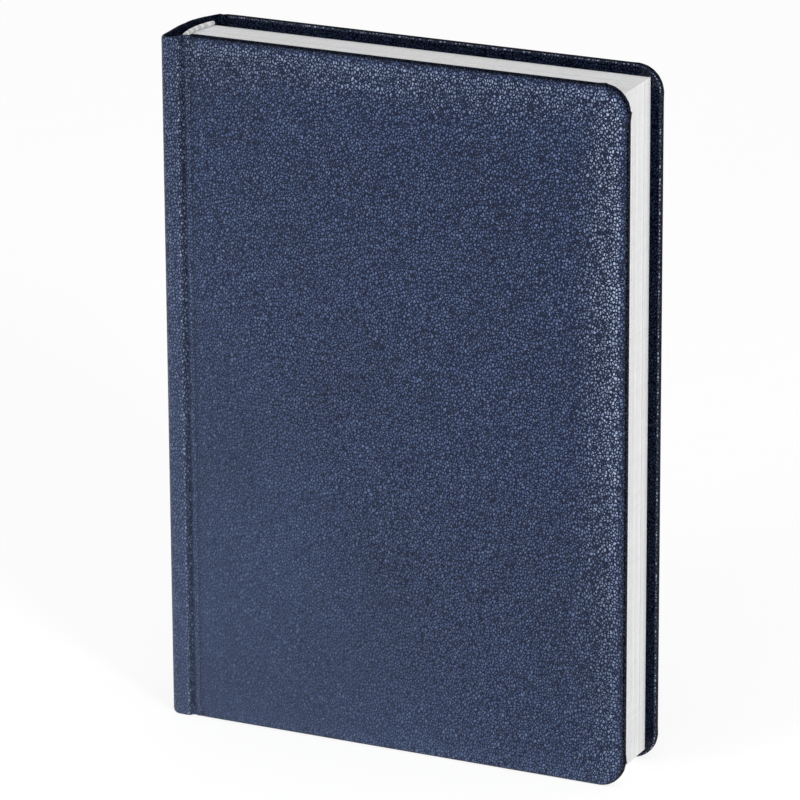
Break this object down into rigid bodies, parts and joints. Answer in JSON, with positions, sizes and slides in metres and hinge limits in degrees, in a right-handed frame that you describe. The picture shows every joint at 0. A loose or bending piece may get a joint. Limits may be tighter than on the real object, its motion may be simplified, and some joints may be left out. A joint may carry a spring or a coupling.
{
  "type": "pilot logbook",
  "caption": "Upright casebound logbook: padded leatherette covers hinged on a stiffened spine, sewn sections that fan open, endpapers and head and tail bands.",
  "frame": {"origin": "middle of the foot of the closed book, on the surface it stands on", "axes": "+Z from tail to head; -X the spine, +X the fore-edge; -Y the front cover, +Y the back cover"},
  "size_m": [0.15, 0.029, 0.214],
  "materials": {
    "leatherette": "satin",
    "greyboard": "matte",
    "foam": "matte",
    "endpaper": "matte",
    "pages": "matte",
    "mull": "matte",
    "kraft": "matte",
    "end_band": "satin",
    "thread": "matte"
  },
  "bodies": {
    "root": {"spine_skin": "leatherette", "spine_card": "greyboard", "spine_mull": "mull", "spine_liner": "kraft", "headband": "end_band", "tailband": "end_band", "sewing_threads": "thread", "section_08": "pages", "section_09": "pages", "front_joint_skin": "leatherette", "front_endpaper_joint": "endpaper", "front_mull_flap": "mull", "back_joint_skin": "leatherette", "back_endpaper_joint": "endpaper", "back_mull_flap": "mull"},
    "front_cover": {"front_board": "greyboard", "front_foam": "foam", "front_skin": "leatherette", "front_pastedown": "endpaper"},
    "back_cover": {"back_board": "greyboard", "back_foam": "foam", "back_skin": "leatherette", "back_pastedown": "endpaper"},
    "front_flyleaf": {"front_flyleaf": "endpaper"},
    "back_flyleaf": {"back_flyleaf": "endpaper"},
    "section_01": {"section_01": "pages"},
    "section_02": {"section_02": "pages"},
    "section_03": {"section_03": "pages"},
    "section_04": {"section_04": "pages"},
    "section_05": {"section_05": "pages"},
    "section_06": {"section_06": "pages"},
    "section_07": {"section_07": "pages"},
    "section_10": {"section_10": "pages"},
    "section_11": {"section_11": "pages"},
    "section_12": {"section_12": "pages"},
    "section_13": {"section_13": "pages"},
    "section_14": {"section_14": "pages"},
    "section_15": {"section_15": "pages"},
    "section_16": {"section_16": "pages"}
  },
  "joints": [
    {"name": "front_cover_hinge", "type": "hinge", "parent": "root", "child": "front_cover", "pos_m": [-0.0725, -0.0107, 0], "axis": [0, 0, -1], "range_deg": [0, 178], "deforming": ["front_joint_skin", "front_endpaper_joint", "front_mull_flap"]},
    {"name": "back_cover_hinge", "type": "hinge", "parent": "root", "child": "back_cover", "pos_m": [-0.0725, 0.0107, 0], "axis": [0, 0, 1], "range_deg": [0, 178], "deforming": ["back_joint_skin", "back_endpaper_joint", "back_mull_flap"]},
    {"name": "front_flyleaf_turn", "type": "hinge", "parent": "root", "child": "front_flyleaf", "pos_m": [-0.07055, -0.01035, 0], "axis": [0, 0, -1], "range_deg": [0, 89]},
    {"name": "back_flyleaf_turn", "type": "hinge", "parent": "root", "child": "back_flyleaf", "pos_m": [-0.07055, 0.01035, 0], "axis": [0, 0, 1], "range_deg": [0, 89]},
    {"name": "section_01_turn", "type": "hinge", "parent": "root", "child": "section_01", "pos_m": [-0.07055, -0.00956, 0], "axis": [0, 0, -1], "range_deg": [0, 35]},
    {"name": "section_02_turn", "type": "hinge", "parent": "root", "child": "section_02", "pos_m": [-0.07055, -0.00829, 0], "axis": [0, 0, -1], "range_deg": [0, 30]},
    {"name": "section_03_turn", "type": "hinge", "parent": "root", "child": "section_03", "pos_m": [-0.07055, -0.00701, 0], "axis": [0, 0, -1], "range_deg": [0, 25]},
    {"name": "section_04_turn", "type": "hinge", "parent": "root", "child": "section_04", "pos_m": [-0.07055, -0.00574, 0], "axis": [0, 0, -1], "range_deg": [0, 20]},
    {"name": "section_05_turn", "type": "hinge", "parent": "root", "child": "section_05", "pos_m": [-0.07055, -0.00446, 0], "axis": [0, 0, -1], "range_deg": [0, 15]},
    {"name": "section_06_turn", "type": "hinge", "parent": "root", "child": "section_06", "pos_m": [-0.07055, -0.00319, 0], "axis": [0, 0, -1], "range_deg": [0, 10]},
    {"name": "section_07_turn", "type": "hinge", "parent": "root", "child": "section_07", "pos_m": [-0.07055, -0.00191, 0], "axis": [0, 0, -1], "range_deg": [0, 5]},
    {"name": "section_10_turn", "type": "hinge", "parent": "root", "child": "section_10", "pos_m": [-0.07055, 0.00191, 0], "axis": [0, 0, 1], "range_deg": [0, 5]},
    {"name": "section_11_turn", "type": "hinge", "parent": "root", "child": "section_11", "pos_m": [-0.07055, 0.00319, 0], "axis": [0, 0, 1], "range_deg": [0, 10]},
    {"name": "section_12_turn", "type": "hinge", "parent": "root", "child": "section_12", "pos_m": [-0.07055, 0.00446, 0], "axis": [0, 0, 1], "range_deg": [0, 15]},
    {"name": "section_13_turn", "type": "hinge", "parent": "root", "child": "section_13", "pos_m": [-0.07055, 0.00574, 0], "axis": [0, 0, 1], "range_deg": [0, 20]},
    {"name": "section_14_turn", "type": "hinge", "parent": "root", "child": "section_14", "pos_m": [-0.07055, 0.00701, 0], "axis": [0, 0, 1], "range_deg": [0, 25]},
    {"name": "section_15_turn", "type": "hinge", "parent": "root", "child": "section_15", "pos_m": [-0.07055, 0.00829, 0], "axis": [0, 0, 1], "range_deg": [0, 30]},
    {"name": "section_16_turn", "type": "hinge", "parent": "root", "child": "section_16", "pos_m": [-0.07055, 0.00956, 0], "axis": [0, 0, 1], "range_deg": [0, 35]}
  ],
  "couplings": [
    {"joint": "front_flyleaf_turn", "follows": "front_cover_hinge", "ratio": 0.5},
    {"joint": "back_flyleaf_turn", "follows": "back_cover_hinge", "ratio": 0.5},
    {"joint": "section_01_turn", "follows": "front_cover_hinge", "ratio": 0.19663},
    {"joint": "section_02_turn", "follows": "front_cover_hinge", "ratio": 0.16854},
    {"joint": "section_03_turn", "follows": "front_cover_hinge", "ratio": 0.14045},
    {"joint": "section_04_turn", "follows": "front_cover_hinge", "ratio": 0.11236},
    {"joint": "section_05_turn", "follows": "front_cover_hinge", "ratio": 0.084269},
    {"joint": "section_06_turn", "follows": "front_cover_hinge", "ratio": 0.056179},
    {"joint": "section_07_turn", "follows": "front_cover_hinge", "ratio": 0.028089},
    {"joint": "section_10_turn", "follows": "back_cover_hinge", "ratio": 0.028089},
    {"joint": "section_11_turn", "follows": "back_cover_hinge", "ratio": 0.056179},
    {"joint": "section_12_turn", "follows": "back_cover_hinge", "ratio": 0.084269},
    {"joint": "section_13_turn", "follows": "back_cover_hinge", "ratio": 0.11236},
    {"joint": "section_14_turn", "follows": "back_cover_hinge", "ratio": 0.14045},
    {"joint": "section_15_turn", "follows": "back_cover_hinge", "ratio": 0.16854},
    {"joint": "section_16_turn", "follows": "back_cover_hinge", "ratio": 0.19663}
  ]
}
